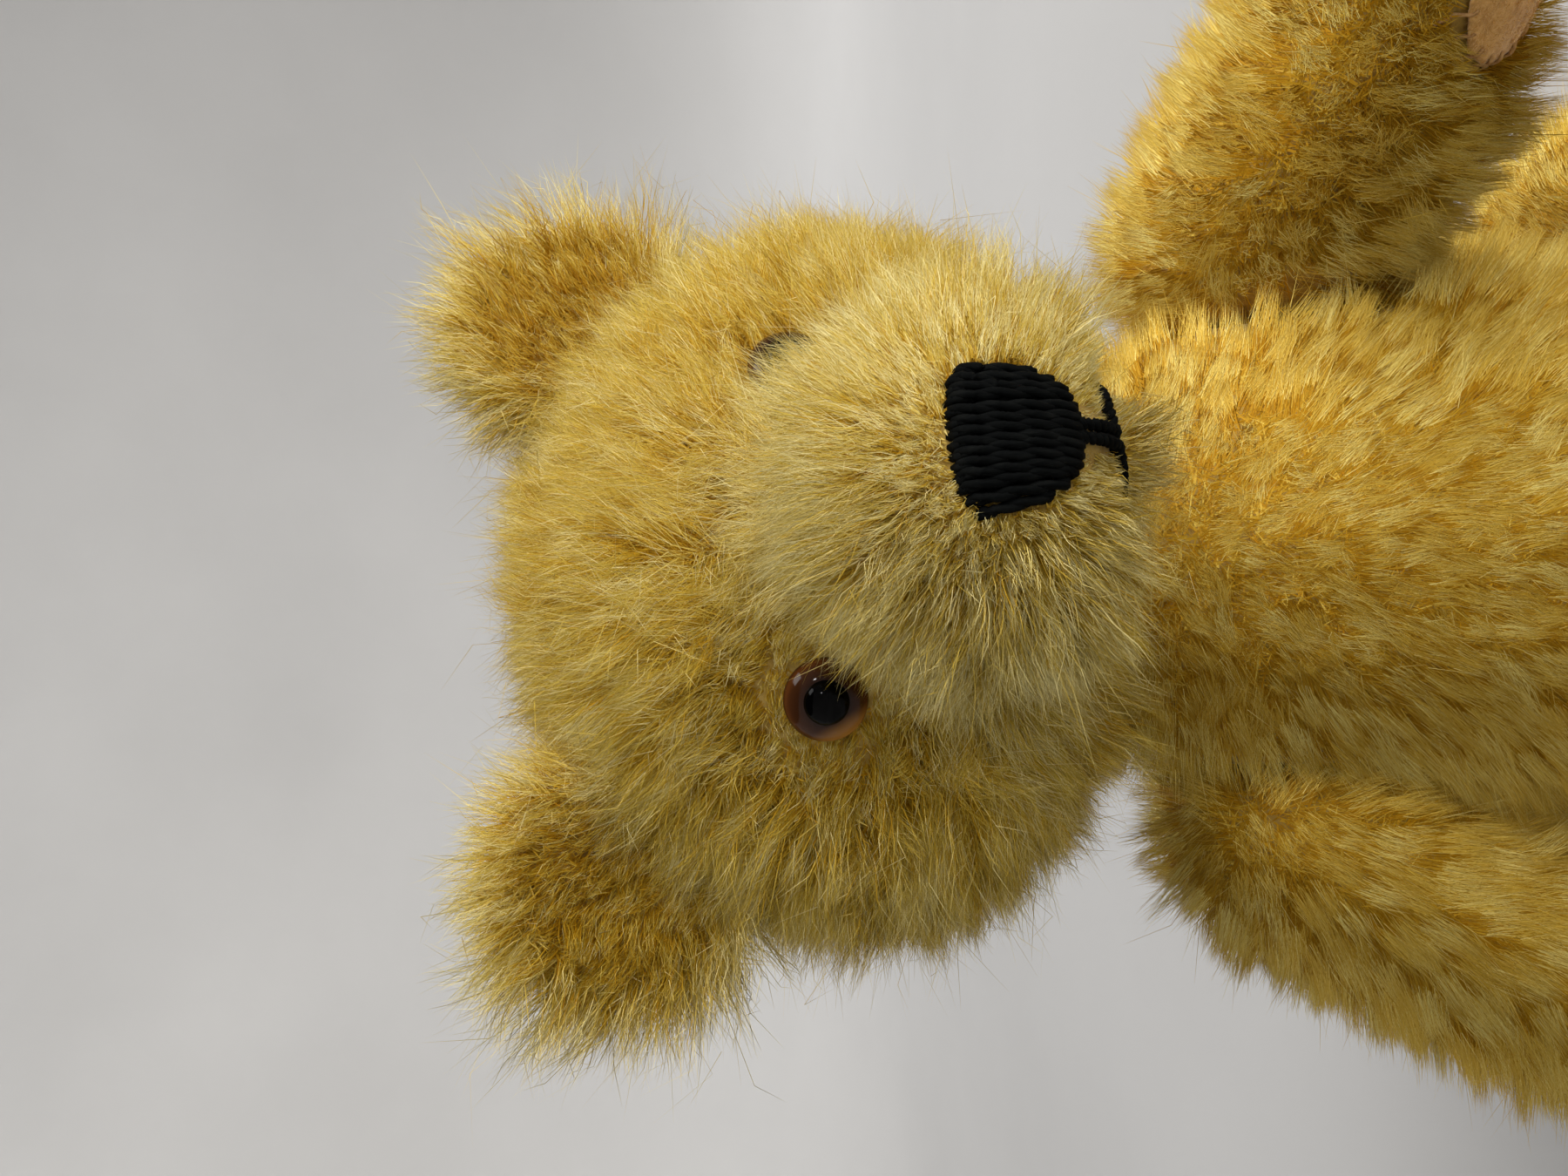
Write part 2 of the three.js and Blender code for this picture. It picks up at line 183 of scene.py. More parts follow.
def noisy(name, dark, mid, light, roughness, scale, bump=0.0, bump_scale=None, stretch=(1, 1, 1),
          metallic=0.0, sheen=0.0, rough_spread=0.0):
    """A procedural surface: three colours mixed by noise, and a bump of its own grain."""
    mat, nodes, links = node_material(name)
    shader = nodes["Principled BSDF"]
    where = nodes.new("ShaderNodeTexCoord")
    mapping = nodes.new("ShaderNodeMapping")
    mapping.inputs["Scale"].default_value = stretch
    links.new(where.outputs["Object"], mapping.inputs["Vector"])
    grain = nodes.new("ShaderNodeTexNoise")
    grain.inputs["Scale"].default_value = scale
    grain.inputs["Detail"].default_value = 5
    links.new(mapping.outputs["Vector"], grain.inputs["Vector"])
    ramp = nodes.new("ShaderNodeValToRGB")
    ramp.color_ramp.elements[0].position = 0.32
    ramp.color_ramp.elements[0].color = (*dark, 1)
    ramp.color_ramp.elements[1].position = 0.7
    ramp.color_ramp.elements[1].color = (*light, 1)
    middle = ramp.color_ramp.elements.new(0.5)
    middle.color = (*mid, 1)
    links.new(grain.outputs["Fac"], ramp.inputs["Fac"])
    links.new(ramp.outputs["Color"], shader.inputs["Base Color"])
    if rough_spread:
        spread = nodes.new("ShaderNodeMapRange")
        spread.inputs["To Min"].default_value = roughness - rough_spread
        spread.inputs["To Max"].default_value = roughness + rough_spread
        links.new(grain.outputs["Fac"], spread.inputs["Value"])
        links.new(spread.outputs["Result"], shader.inputs["Roughness"])
    else:
        shader.inputs["Roughness"].default_value = roughness
    shader.inputs["Metallic"].default_value = metallic
    if sheen:
        shader.inputs["Sheen Weight"].default_value = sheen
        shader.inputs["Sheen Roughness"].default_value = 0.4
    if bump:
        fine = nodes.new("ShaderNodeTexNoise")
        fine.inputs["Scale"].default_value = bump_scale or scale * 3
        fine.inputs["Detail"].default_value = 6
        links.new(mapping.outputs["Vector"], fine.inputs["Vector"])
        relief = nodes.new("ShaderNodeBump")
        relief.inputs["Strength"].default_value = 1.0
        relief.inputs["Distance"].default_value = bump
        links.new(fine.outputs["Fac"], relief.inputs["Height"])
        links.new(relief.outputs["Normal"], shader.inputs["Normal"])
    mat.diffuse_color = (*mid, 1)
    return mat


def tint(name, colour, roughness=0.6):
    """One dye shade of mohair. A strand is too thin for a pattern, so its colour changes from strand
    to strand and from root to tip by the shade that each length of it takes."""
    mat, nodes, _ = node_material(name)
    shader = nodes["Principled BSDF"]
    shader.inputs["Base Color"].default_value = (*colour, 1)
    shader.inputs["Roughness"].default_value = roughness
    shader.inputs["Specular IOR Level"].default_value = 0.14
    mat.diffuse_color = (*colour, 1)
    return mat


backing = noisy("mohair_backing", srgb(150, 118, 48), srgb(172, 140, 62), srgb(190, 160, 84), 0.9, 420,
                bump=0.25 * MM, bump_scale=1500, sheen=0.3)

# root, shaft and tip of four dye families: two of gold, then two of faded straw. The darker, more saturated roots
# are partly the mohair's own colour and partly painted shade for the depth of the pile
HEAD_SHADES = [
    (srgb(190, 142, 16), srgb(202, 160, 40), srgb(214, 184, 78)),
    (srgb(182, 132, 10), srgb(192, 148, 28), srgb(206, 174, 64)),
    (srgb(192, 154, 42), srgb(210, 180, 78), srgb(228, 207, 126)),
    (srgb(202, 168, 56), srgb(222, 196, 100), srgb(244, 228, 160)),
]
BODY_SHADES = [
    (srgb(198, 146, 20), srgb(212, 166, 42), srgb(230, 194, 82)),
    (srgb(192, 138, 14), srgb(202, 154, 32), srgb(218, 178, 64)),
    (srgb(206, 158, 38), srgb(222, 184, 68), srgb(240, 212, 110)),
    (srgb(216, 172, 50), srgb(234, 202, 88), srgb(252, 232, 140)),
]


def shade_set(prefix, shades):
    return [tint(f"{prefix}_{i + 1}_{part}", colour)
            for i, family in enumerate(shades)
            for part, colour in zip(("root", "shaft", "tip"), family)]


head_tints = shade_set("mohair_straw", HEAD_SHADES)
body_tints = shade_set("mohair_gold", BODY_SHADES)


# ---------------------------------------------------------------- padded skins

def keep_largest_island(bm):
    left = set(bm.verts)
    best = []
    while left:
        stack = [left.pop()]
        island = [stack[0]]
        while stack:
            for e in stack.pop().link_edges:
                for v in e.verts:
                    if v in left:
                        left.remove(v)
                        stack.append(v)
                        island.append(v)
        if len(island) > len(best):
            best = island
    keep = set(best)
    bmesh.ops.delete(bm, geom=[v for v in bm.verts if v not in keep], context="VERTS")


def evaluated_mesh(obj):
    graph = bpy.context.evaluated_depsgraph_get()
    return bpy.data.meshes.new_from_object(obj.evaluated_get(graph), depsgraph=graph)


def coordinates(mesh):
    co = np.empty(len(mesh.vertices) * 3)
    mesh.vertices.foreach_get("co", co)
    return co.reshape(-1, 3)


def relax(bm, times):
    for _ in range(times):
        bmesh.ops.smooth_vert(bm, verts=bm.verts, factor=0.5,
                              use_axis_x=True, use_axis_y=True, use_axis_z=True)


def inflate(obj, seams, seats):
    """Blows the cloth out between its seams, as firm stuffing does. seats are the (point, radius) of the
    joint faces, where it stays flat."""
    rest = coordinates(obj.data)
    pinned = obj.vertex_groups.new(name="seam")
    pinned.add([int(i) for i in np.nonzero(seams(rest))[0]], 1.0, "REPLACE")
    cloth = obj.modifiers.new("stuffing", "CLOTH")
    cloth.settings.vertex_group_mass = "seam"
    cloth.settings.use_pressure = True
    cloth.settings.uniform_pressure_force = PRESSURE
    cloth.settings.effector_weights.gravity = 0
    cloth.settings.quality = 6
    scene = bpy.context.scene
    for f in range(1, PRESSURE_FRAMES + 1):
        scene.frame_set(f)
    blown = coordinates(evaluated_mesh(obj))
    obj.modifiers.remove(cloth)
    scene.frame_set(1)
    move = blown - rest
    move[~np.isfinite(move).all(1)] = 0
    allowed = np.full(len(rest), SWELL)
    for point, radius in seats:
        away = np.linalg.norm(rest - np.array(point), axis=1)
        allowed *= smooth(radius, radius + 12 * MM, away)
    size = np.linalg.norm(move, axis=1)
    move *= (np.minimum(size, allowed) / np.maximum(size, 1e-9))[:, None]
    obj.data.vertices.foreach_set("co", (rest + move).ravel())
    obj.data.update()


def skin(name, nodes, seams, seats, voxel=SKIN_VOXEL, soft=4):
    """One closed cloth skin over a body's padded solids, blown up a little between its seams."""
    bm = bmesh.new()
    for n in nodes:
        bm.from_mesh(NODES[n].data)
    mesh = bpy.data.meshes.new(name)
    bm.to_mesh(mesh)
    bm.free()
    obj = add_object(name, mesh)
    shell = obj.modifiers.new("skin", "REMESH")
    shell.mode = "VOXEL"
    shell.voxel_size = voxel
    obj.data = evaluated_mesh(obj)
    obj.modifiers.clear()
    with reshaping(obj.data) as bm:
        keep_largest_island(bm)
        relax(bm, soft)
    inflate(obj, seams, seats)
    with reshaping(obj.data) as bm:
        relax(bm, 2)
    shade_smooth(obj)
    return obj


def turned(points, angle=-HEAD_TURN):
    """Points turned about the neck, from the row frame into the head's own by default."""
    c, s = math.cos(angle), math.sin(angle)
    return points @ np.array([[c, s, 0], [-s, c, 0], [0, 0, 1]])


def no_seams(co):
    return np.zeros(len(co), bool)


def centre_seam(co):
    return np.abs(co[:, 0]) < SEAM_HALF_WIDTH


def gusset_seams(co):
    """The two seams of the head's gusset, which widens from the nose to the crown."""
    own = turned(co)
    half = 9 * MM + 17 * MM * smooth(-0.06, -0.02, own[:, 1])
    return (np.abs(np.abs(own[:, 0]) - half) < SEAM_HALF_WIDTH) & (own[:, 2] > 0.165)


def limb_seams(side, node):
    low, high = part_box(node)
    middle = side * (abs(low.x) + abs(high.x)) / 2

    def seams(co):
        return np.abs(co[:, 0] - middle) < SEAM_HALF_WIDTH
    return seams


NECK = JOINT["neck"]
SIDES = {"left": 1, "right": -1}
LIMBS = {"arm": ("shoulder", "paw"), "leg": ("hip", "sole")}


def nodes_of(body, *words):
    members = frame["record"]["behaviour"]["bodies"][body]
    return [n for n in members if any(w in n for w in words)]


def cover_skin(name, body, seams, joints):
    """The cloth of a whole body, flat where its joint faces rub."""
    padding = nodes_of(body, "cover", "stuffing", "insole", "disc", "washer")
    return skin(name, padding, seams, [(JOINT[j], SEAT_RADIUS[j.split("_")[0]]) for j in joints])


skins = {
    "torso": cover_skin("torso_skin", "torso", centre_seam, JOINT),
    "head": cover_skin("head_skin", "head", gusset_seams, ["neck"]),
}
for side, sign in SIDES.items():
    for limb, (joint, _) in LIMBS.items():
        seams = limb_seams(sign, f"{limb}_cover_{side}")
        skins[f"{limb}_{side}"] = cover_skin(f"{limb}_skin_{side}", f"{limb}_{side}", seams,
                                             [f"{joint}_{side}"])
for body, obj in skins.items():
    finish_piece(obj, body, "mohair", backing)
    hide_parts(nodes_of(body, "cover")[0])


def ear_skin(side):
    obj = skin(f"ear_skin_{side}", [f"ear_{side}"], no_seams, [], voxel=1.3 * MM, soft=3)
    finish_piece(obj, "head", "mohair", backing)
    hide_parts(f"ear_{side}")
    return obj


ears = {side: ear_skin(side) for side in SIDES}


# ---------------------------------------------------------------- face

def triangles(mesh):
    mesh.calc_loop_triangles()
    tri = np.empty(len(mesh.loop_triangles) * 3, np.int32)
    mesh.loop_triangles.foreach_get("vertices", tri)
    normals = np.empty(len(mesh.vertices) * 3)
    mesh.vertices.foreach_get("normal", normals)
    return coordinates(mesh), normals.reshape(-1, 3), tri.reshape(-1, 3)


EYES = {side: np.array(centre(f"eye_{side}")) for side in SIDES}
NOSE = np.array(centre("nose_stitching"))
FACE_OUT = np.array([math.sin(HEAD_TURN), -math.cos(HEAD_TURN), 0])


GAZE = {side: unit(turned(np.array([[0.32 * sign, -1.0, 0.12]]), HEAD_TURN))[0]
        for side, sign in SIDES.items()}


def lathe(name, profile, origin, axis):
    """A body of revolution about an axis through origin, from (radius, height) pairs in mm."""
    rotation = np.array(Vector(axis).to_track_quat("Z", "Y").to_matrix())
    turns = LATHE_TURNS
    angle = np.arange(turns) * 2 * math.pi / turns
    rings = [np.stack([r * np.cos(angle), r * np.sin(angle), np.full(turns, h)], 1) * MM
             for r, h in profile]
    verts = np.concatenate([ring @ rotation.T + origin for ring in rings])
    faces = []
    for row in range(len(rings) - 1):
        a, b = row * turns, (row + 1) * turns
        faces += [(a + t, a + (t + 1) % turns, b + (t + 1) % turns, b + t) for t in range(turns)]
    mesh = mesh_from(name, verts, faces)
    with reshaping(mesh) as bm:
        bmesh.ops.remove_doubles(bm, verts=bm.verts, dist=1e-6)
        bmesh.ops.recalc_face_normals(bm, faces=bm.faces)
    obj = add_object(name, mesh)
    shade_smooth(obj)
    return obj


def iris_material(name, place, axis):
    """Amber glass: darkest behind the pupil, warmer outwards to a dark rim, and a painted glow: a lighter
    crescent on the side away from the window, where light through the glass would shine."""
    mat, nodes, links = node_material(name)
    shader = nodes["Principled BSDF"]
    where = nodes.new("ShaderNodeTexCoord")
    offset = nodes.new("ShaderNodeVectorMath")
    offset.operation = "SUBTRACT"
    offset.inputs[1].default_value = place
    links.new(where.outputs["Object"], offset.inputs[0])
    cross = nodes.new("ShaderNodeVectorMath")
    cross.operation = "CROSS_PRODUCT"
    cross.inputs[1].default_value = axis
    links.new(offset.outputs["Vector"], cross.inputs[0])
    radius = nodes.new("ShaderNodeVectorMath")
    radius.operation = "LENGTH"
    links.new(cross.outputs["Vector"], radius.inputs[0])
    reach = nodes.new("ShaderNodeMapRange")
    reach.inputs["From Min"].default_value = 2.8 * MM
    reach.inputs["From Max"].default_value = 6.1 * MM
    links.new(radius.outputs["Value"], reach.inputs["Value"])
    ring = nodes.new("ShaderNodeValToRGB")
    for end in (0, -1):
        ring.color_ramp.elements[end].position = IRIS_STOPS[end][0]
        ring.color_ramp.elements[end].color = (*srgb(*IRIS_STOPS[end][1]), 1)
    for position, colour in IRIS_STOPS[1:-1]:
        ring.color_ramp.elements.new(position).color = (*srgb(*colour), 1)
    links.new(reach.outputs["Result"], ring.inputs["Fac"])
    # painted glow: a lighter amber crescent screened over the ring on the side away from the window
    lean = nodes.new("ShaderNodeVectorMath")
    lean.operation = "DOT_PRODUCT"
    lean.inputs[1].default_value = PAINTED_GLOW_SIDE
    links.new(offset.outputs["Vector"], lean.inputs[0])
    crescent = nodes.new("ShaderNodeMapRange")
    crescent.interpolation_type = "SMOOTHSTEP"
    crescent.inputs["From Min"].default_value = 3.0 * MM
    crescent.inputs["From Max"].default_value = 5.6 * MM
    crescent.inputs["To Max"].default_value = 0.8
    links.new(lean.outputs["Value"], crescent.inputs["Value"])
    mix = nodes.new("ShaderNodeMix")
    mix.data_type = "RGBA"
    mix.blend_type = "SCREEN"
    links.new(crescent.outputs["Result"], mix.inputs["Factor"])
    links.new(ring.outputs["Color"], mix.inputs[6])
    mix.inputs[7].default_value = (*srgb(152, 104, 42), 1)
    links.new(mix.outputs[2], shader.inputs["Base Color"])
    shader.inputs["Roughness"].default_value = 0.06
    shader.inputs["IOR"].default_value = 1.4
    shader.inputs["Specular IOR Level"].default_value = 0.3
    mat.diffuse_color = (*srgb(124, 66, 34), 1)
    return mat


def eye_piece(side):
    """A glass iris and a domed pupil on it, where the plain eye looks along its gaze."""
    name, axis = f"eye_{side}", GAZE[side]
    co = coordinates(NODES[name].data)
    heights = co @ axis
    low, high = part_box(name)
    middle = np.array((low + high) / 2)
    flat = co - np.outer(heights, axis)
    u = unit(np.cross(axis, [0, 0, 1.0]))
    v = np.cross(axis, u)
    a, b = flat @ u, flat @ v
    rim = u * (a.min() + a.max()) / 2 + v * (b.min() + b.max()) / 2 + axis * (heights.max() - 3.6 * MM)
    iris = lathe(f"eye_iris_{side}", IRIS_PROFILE, rim, axis)
    arc = [math.radians(90 * i / 12) for i in range(13)]
    dome = [(PUPIL_RADIUS * math.cos(t), PUPIL_RIM + PUPIL_RISE * math.sin(t)) for t in arc]
    pupil = lathe(f"eye_pupil_{side}", [(0, 1.8), (2.4, 1.8), (PUPIL_RADIUS, 2.0)] + dome, rim, axis)
    finish_piece(iris, "head", "eye_glass", iris_material(f"amber_glass_{side}", rim, axis))
    finish_piece(pupil, "head", "eye_glass", pupil_glass)
    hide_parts(name)


pupil_glass = noisy("pupil_glass", (0.0003, 0.0003, 0.0003), (0.0006, 0.0005, 0.0005),
                    (0.001, 0.0009, 0.0008), 0.04, 300)
pupil_shader = pupil_glass.node_tree.nodes["Principled BSDF"]
pupil_shader.inputs["IOR"].default_value = 1.33
pupil_shader.inputs["Specular IOR Level"].default_value = 0.15
for side in SIDES:
    eye_piece(side)


# ---------------------------------------------------------------- nose and mouth yarn

def surface_of(obj, turn=0.0):
    co, _, tri = triangles(obj.data)
    co = turned(co, turn) if turn else co
    return BVHTree.FromPolygons([Vector(c) for c in co], [tuple(int(i) for i in t) for t in tri])


def tubes(paths, radius):
    """Vertices and faces of round tubes along several paths, closed at both ends."""
    sides = YARN_SIDES
    verts, faces = [], []
    ring = np.arange(sides) * 2 * math.pi / sides
    for path in paths:
        path = np.asarray(path)
        along = unit(np.gradient(path, axis=0))
        side = unit(np.cross(along, np.array([0.31, 0.2, 0.93])))
        up = np.cross(side, along)
        start = len(verts)
        for p, s, u in zip(path, side, up):
            verts += list(p + radius * (np.cos(ring)[:, None] * s + np.sin(ring)[:, None] * u))
        for row in range(len(path) - 1):
            a, b = start + row * sides, start + (row + 1) * sides
            faces += [(a + t, b + t, b + (t + 1) % sides, a + (t + 1) % sides) for t in range(sides)]
        faces.append(tuple(start + t for t in range(sides)))
        faces.append(tuple(reversed([start + (len(path) - 1) * sides + t for t in range(sides)])))
    return verts, faces


def plies(path, out, thickness, pitch):
    """The twisted plies of a yarn that runs along path. out is the way off the cloth at each point."""
    path = np.asarray(path)
    along = unit(np.gradient(path, axis=0))
    across = unit(np.cross(along, out))
    off = np.cross(across, along)
    run = np.concatenate([[0], np.cumsum(np.linalg.norm(np.diff(path, axis=0), axis=1))])
    found = []
    for k in range(YARN_PLIES):
        turn = 2 * math.pi * (run / pitch + k / YARN_PLIES)
        swing = np.cos(turn)[:, None] * off + np.sin(turn)[:, None] * across
        found.append(path + thickness * 0.25 * swing)
    return found


def yarn_piece(name, paths, radius, body, slot, mat, turn=0.0):
    verts, faces = tubes(paths, radius)
    mesh = mesh_from(name, turned(np.array(verts), turn) if turn else verts, faces)
    obj = add_object(name, mesh)
    shade_smooth(obj)
    return finish_piece(obj, body, slot, mat)


black_yarn = noisy("black_yarn", (0.0012, 0.0015, 0.0015), (0.002, 0.0025, 0.0025),
                   (0.006, 0.0065, 0.006), 0.85, 900, bump=0.1 * MM, bump_scale=2600,
                   stretch=(1, 1, 0.25), rough_spread=0.1)
black_yarn.node_tree.nodes["Principled BSDF"].inputs["Specular IOR Level"].default_value = 0.06

own_head = surface_of(skins["head"], -HEAD_TURN)
nose_own = turned(NOSE[None])[0]


def on_muzzle(x, z):
    hit = own_head.ray_cast(Vector((x, -0.2, z)), Vector((0, 1, 0)))
    return hit[0], hit[1]


def face_path(points, proud):
    """A path over the muzzle through (x, z) points in the head's own frame, proud of the cloth by a
    height for each point, with both ends sunk into it."""
    path, out = [], []
    last = len(points) - 1
    for i, (x, z) in enumerate(points):
        place, normal = on_muzzle(x, z)
        sunk = YARN_DIVE if i in (0, last) else 0
        path.append(np.array(place + normal * (proud[i] - sunk)))
        out.append(np.array(normal))
    return np.array(path), np.array(out)


def nose_stitches():
    """Vertical satin stitches of thick twisted yarn that fill a shield, flat above and round below."""
    rng = np.random.default_rng(5)
    paths = []
    middle = nose_own[2] - NOSE_DROP
    t = np.linspace(0, 1, 34)
    for number, width, lift, crown in ((NOSE_THREADS - 2, 0.84, 0.2, 0.5), (NOSE_THREADS, 1.0, 0.55, 1.0)):
        for i in range(number):
            share = i / (number - 1) * 2 - 1
            x = share * (NOSE_HALF_WIDTH * width - NOSE_YARN / 2) + rng.normal(0, 0.08 * MM)
            inner = math.sqrt(max(0, 1 - (share * 0.97) ** 2))
            belly = math.sqrt(1 - abs(share * 0.97) ** 1.8)
            top = middle + NOSE_HALF_HEIGHT * (0.55 + 0.42 * inner ** 0.7) + rng.normal(0, 0.1 * MM)
            low = middle - NOSE_HALF_HEIGHT * (0.22 + 0.8 * belly) + rng.normal(0, 0.1 * MM)
            z = top + (low - top) * t
            swell = (1 - share ** 2 * 0.75) * np.sin(np.pi * t) ** 0.6
            proud = NOSE_YARN * lift + NOSE_CROWN * swell * crown
            wander = rng.normal(0, 0.18 * MM) * np.sin(np.pi * t)
            path, out = face_path(list(zip(x * (1.05 - 0.16 * t) + wander, z)), proud)
            paths += plies(path, out, NOSE_YARN * 0.7, 7.5 * MM)
    obj = yarn_piece("nose_yarn", paths, NOSE_YARN * 0.38, "head", "yarn", black_yarn, HEAD_TURN)
    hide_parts("nose_stitching")
    return turned(np.concatenate(paths), HEAD_TURN)


def mouth_stitches():
    """Two threads down from the nose, and a wide, uneven mouth whose two sides start at their foot."""
    bottom = nose_own[2] - NOSE_DROP - NOSE_HALF_HEIGHT
    apex = bottom - 5.2 * MM
    runs = [((x, bottom + 1.5 * MM), (x, apex - 0.3 * MM)) for x in (-0.8 * MM, 0.8 * MM)]
    runs += [((0, apex), (10 * MM, apex - 1.5 * MM)), ((0, apex), (-13 * MM, apex - 6.0 * MM))]
    t = np.linspace(0, 1, 40)
    paths = []
    for (x0, z0), (x1, z1) in runs:
        bow = 0.9 * MM * np.sin(np.pi * t) * (abs(x1) > 5 * MM)
        points = list(zip(x0 + (x1 - x0) * t, z0 + (z1 - z0) * t + bow))
        path, out = face_path(points, np.full(len(t), MOUTH_THREAD * 0.7))
        paths += plies(path, out, MOUTH_THREAD, 2.2 * MM)
    obj = yarn_piece("mouth_yarn", paths, MOUTH_THREAD * 0.33, "head", "yarn", black_yarn, HEAD_TURN)
    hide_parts("mouth_stitching")
    return turned(np.concatenate(paths), HEAD_TURN)


nose_line = nose_stitches()
mouth_line = mouth_stitches()


# ---------------------------------------------------------------- mohair pile

def scatter(mesh, density, weight, rng):
    """Roots over a skin, so many to the square millimetre where weight is 1."""
    co, normals, tri = triangles(mesh)
    a, b, c = co[tri[:, 0]], co[tri[:, 1]], co[tri[:, 2]]
    area = np.linalg.norm(np.cross(b - a, c - a), axis=1) / 2
    share = area * weight((a + b + c) / 3, unit(normals[tri].mean(1)))
    count = int(share.sum() / MM ** 2 * density)
    pick = rng.choice(len(tri), count, p=share / share.sum())
    u, v = rng.random(count), rng.random(count)
    flip = u + v > 1
    u[flip], v[flip] = 1 - u[flip], 1 - v[flip]
    w = np.stack([1 - u - v, u, v], 1)[:, :, None]
    return (co[tri[pick]] * w).sum(1), unit((normals[tri[pick]] * w).sum(1))


def nearest(points, centres):
    """The index of the nearest centre to each point."""
    tree = KDTree(len(centres))
    for i, c in enumerate(centres):
        tree.insert(c, i)
    tree.balance()
    return np.array([tree.find(p)[1] for p in points], np.int64)


def grow(roots, normals, comb, length, lean, rng, segments, lock=2.6 * MM, pull=0.42, frizz=0.075,
         jitter=0.6, stray=0.09):
    """The points of each hair, root first, and the number of its lock. comb is the way that the hairs lean
    over the cloth and lean how far, in radians. Hairs gather into locks: each lock has a slant of its own
    and its hairs close on its middle hair towards their tips. stray is the share of loose hairs."""
    n = len(roots)
    centres = rng.permutation(n)[:max(8, int(spread_area(roots, n) / lock ** 2))]
    owner = centres[nearest(roots, roots[centres])]
    lock_slant = rng.normal(0, jitter, (n, 3))
    lock_size = rng.normal(1, 0.13, n)
    flat = comb - normals * (comb * normals).sum(1, keepdims=True)
    way = unit(flat + lock_slant[owner] + rng.normal(0, jitter * 0.5, (n, 3)))
    way = unit(way - normals * (way * normals).sum(1, keepdims=True))
    lean = lean * rng.normal(1, 0.16, n) * np.clip(lock_size[owner] ** -0.8, 0.6, 1.5)
    loose = rng.random(n) < stray
    long = length * rng.normal(1, 0.1, n) * lock_size[owner]
    long[loose] *= rng.uniform(1.0, 1.25, loose.sum())
    points = np.empty((n, segments + 1, 3))
    points[:, 0] = roots - normals * 0.3 * MM
    for k in range(segments):
        u = (k + 0.5) / segments
        angle = lean * (0.45 + 0.85 * u)
        d = normals * np.cos(angle)[:, None] + way * np.sin(angle)[:, None]
        points[:, k + 1] = points[:, k] + unit(d) * (long / segments)[:, None]
    grip = np.where(loose, 0.1, pull * rng.uniform(0.6, 1.0, n))
    middle = points[owner].copy()
    for k in range(1, segments + 1):
        u = k / segments
        points[:, k] += (middle[:, k] - points[:, k]) * (grip * u ** 1.2)[:, None]
        points[:, k] += rng.normal(0, 1, (n, 3)) * (long * frizz * np.where(loose, 2.2, 1.0) * u)[:, None]
    points[:, 1:, 2] = np.maximum(points[:, 1:, 2], FLOOR_CLEAR + rng.uniform(0, 1.2 * MM, (n, 1)))
    return trim(points), owner


def trim(points):
    """Cuts back the longest hairs to the room that the pile may take round the bear."""
    low, high = (np.array(c) for c in cad_box)
    room = (high - low) * PROUD_SHARE + PROUD_MOST
    reach = np.linalg.norm(points[:, -1] - points[:, 0], axis=1)
    past = np.maximum(points - (high + room), (low - room) - points).max(axis=(1, 2))
    keep = np.clip(1 - 1.4 * np.maximum(past, 0) / np.maximum(reach, MM), 0.2, 1)
    return points[:, :1] + (points - points[:, :1]) * keep[:, None, None]


def spread_area(roots, n):
    """About the area that the roots cover, from the spacing of a sample of them."""
    sample = roots[:: max(1, n // 400)]
    tree = KDTree(n)
    for i, r in enumerate(roots):
        tree.insert(r, i)
    tree.balance()
    reach = np.array([tree.find_n(p, 9)[-1][2] for p in sample])
    return n * float(np.mean(np.pi * reach ** 2)) / 8


def dealt(owner, rng):
    """A number from 0 to 1 for each hair, which most hairs of a lock share."""
    shared = rng.random(len(owner)) < LOCK_DYED
    return np.where(shared, rng.random(owner.max() + 1)[owner], rng.random(len(owner)))


def ribbon_corners(points, along, side, thick, tip):
    """The corners of a ribbon along each hair: a pair for each length of it, and one at its end."""
    n, rows, _ = points.shape
    segments = rows - 1
    verts = np.empty((n, 2 * segments + 1, 3), np.float32)
    for k in range(segments):
        half = thick * (1 - (1 - tip) * (k / segments) ** 1.5) / 2
        s = side - along[:, k] * (side * along[:, k]).sum(1, keepdims=True)
        s = unit(s) * half[:, None]
        verts[:, 2 * k] = points[:, k] - s
        verts[:, 2 * k + 1] = points[:, k] + s
    verts[:, 2 * segments] = points[:, segments]
    return verts


def ribbon_pattern(segments):
    """The triangles of one ribbon, and the shade of each: 0 at the root to 2 at the tip."""
    pattern = []
    for k in range(segments - 1):
        pattern += [(2 * k, 2 * k + 1, 2 * k + 3), (2 * k, 2 * k + 3, 2 * k + 2)]
    pattern.append((2 * segments - 2, 2 * segments - 1, 2 * segments))
    shades = [min(2, int((k + 0.55) / segments * 3)) for k in range(segments) for _ in (0, 1)]
    return np.array(pattern, np.int32), np.array(shades[:-1])


def ribbon_mesh(name, verts, pattern, index, shading):
    """The mesh of many ribbons. index is the material of each triangle, and shading the normal of each
    hair, or None for the ribbons' own."""
    count, per_hair, _ = verts.shape
    base = (np.arange(count, dtype=np.int32) * per_hair)[:, None, None]
    tri = (pattern[None] + base).reshape(-1, 3)
    mesh = bpy.data.meshes.new(name)
    mesh.vertices.add(count * per_hair)
    mesh.vertices.foreach_set("co", verts.ravel())
    mesh.loops.add(len(tri) * 3)
    mesh.loops.foreach_set("vertex_index", tri.ravel())
    mesh.polygons.add(len(tri))
    mesh.polygons.foreach_set("loop_start", np.arange(0, len(tri) * 3, 3, dtype=np.int32))
    mesh.polygons.foreach_set("material_index", index)
    mesh.polygons.foreach_set("use_smooth", np.ones(len(tri), bool))
    if shading is not None:
        turned_out = mesh.attributes.new("custom_normal", "FLOAT_VECTOR", "POINT")
        turned_out.data.foreach_set("vector", np.repeat(shading, per_hair, axis=0).ravel())
    mesh.update()
    return mesh


